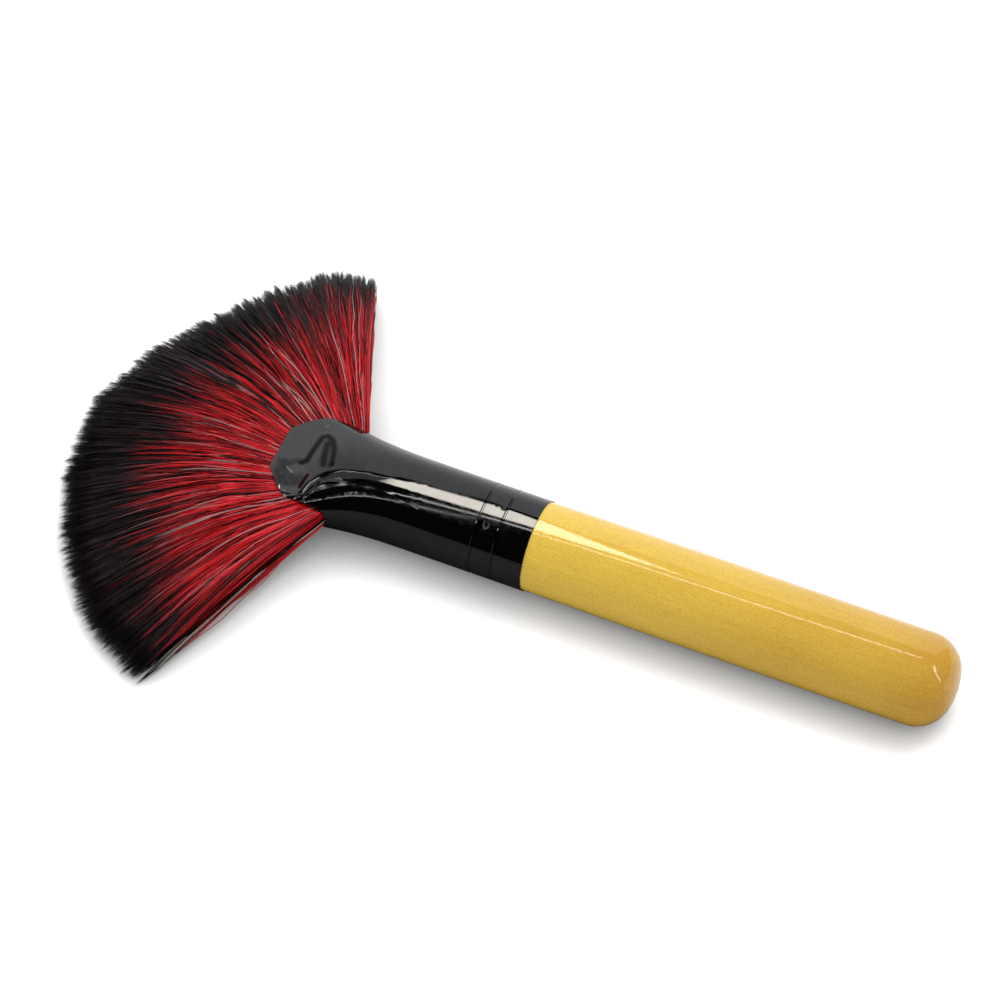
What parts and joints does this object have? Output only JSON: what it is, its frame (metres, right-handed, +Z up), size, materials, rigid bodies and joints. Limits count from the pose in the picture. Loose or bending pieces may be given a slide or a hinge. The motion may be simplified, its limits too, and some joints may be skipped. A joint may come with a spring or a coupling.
{
  "type": "fan makeup brush",
  "caption": "Fan-shaped powder brush with a lacquered wooden handle, a black ferrule pressed flat at its mouth, and a wide tuft of two-tone synthetic hair.",
  "frame": {"origin": "on the surface it lies on, below the middle of its overall length", "axes": "+X along the brush from the fan to the end of the handle, +Y across the fan, +Z up"},
  "size_m": [0.1602, 0.0946, 0.0162],
  "materials": {
    "lacquered_wood": "fine-grained pale wood under clear gloss lacquer",
    "black_metal": "glossy black lacquer",
    "resin": "cured resin",
    "hair": "synthetic fibre, red at the mouth and black at the tips"
  },
  "bodies": {
    "root": {"handle": "lacquered_wood", "ferrule": "black_metal", "glue_plug": "resin", "bristle_tuft": "hair"}
  },
  "joints": []
}
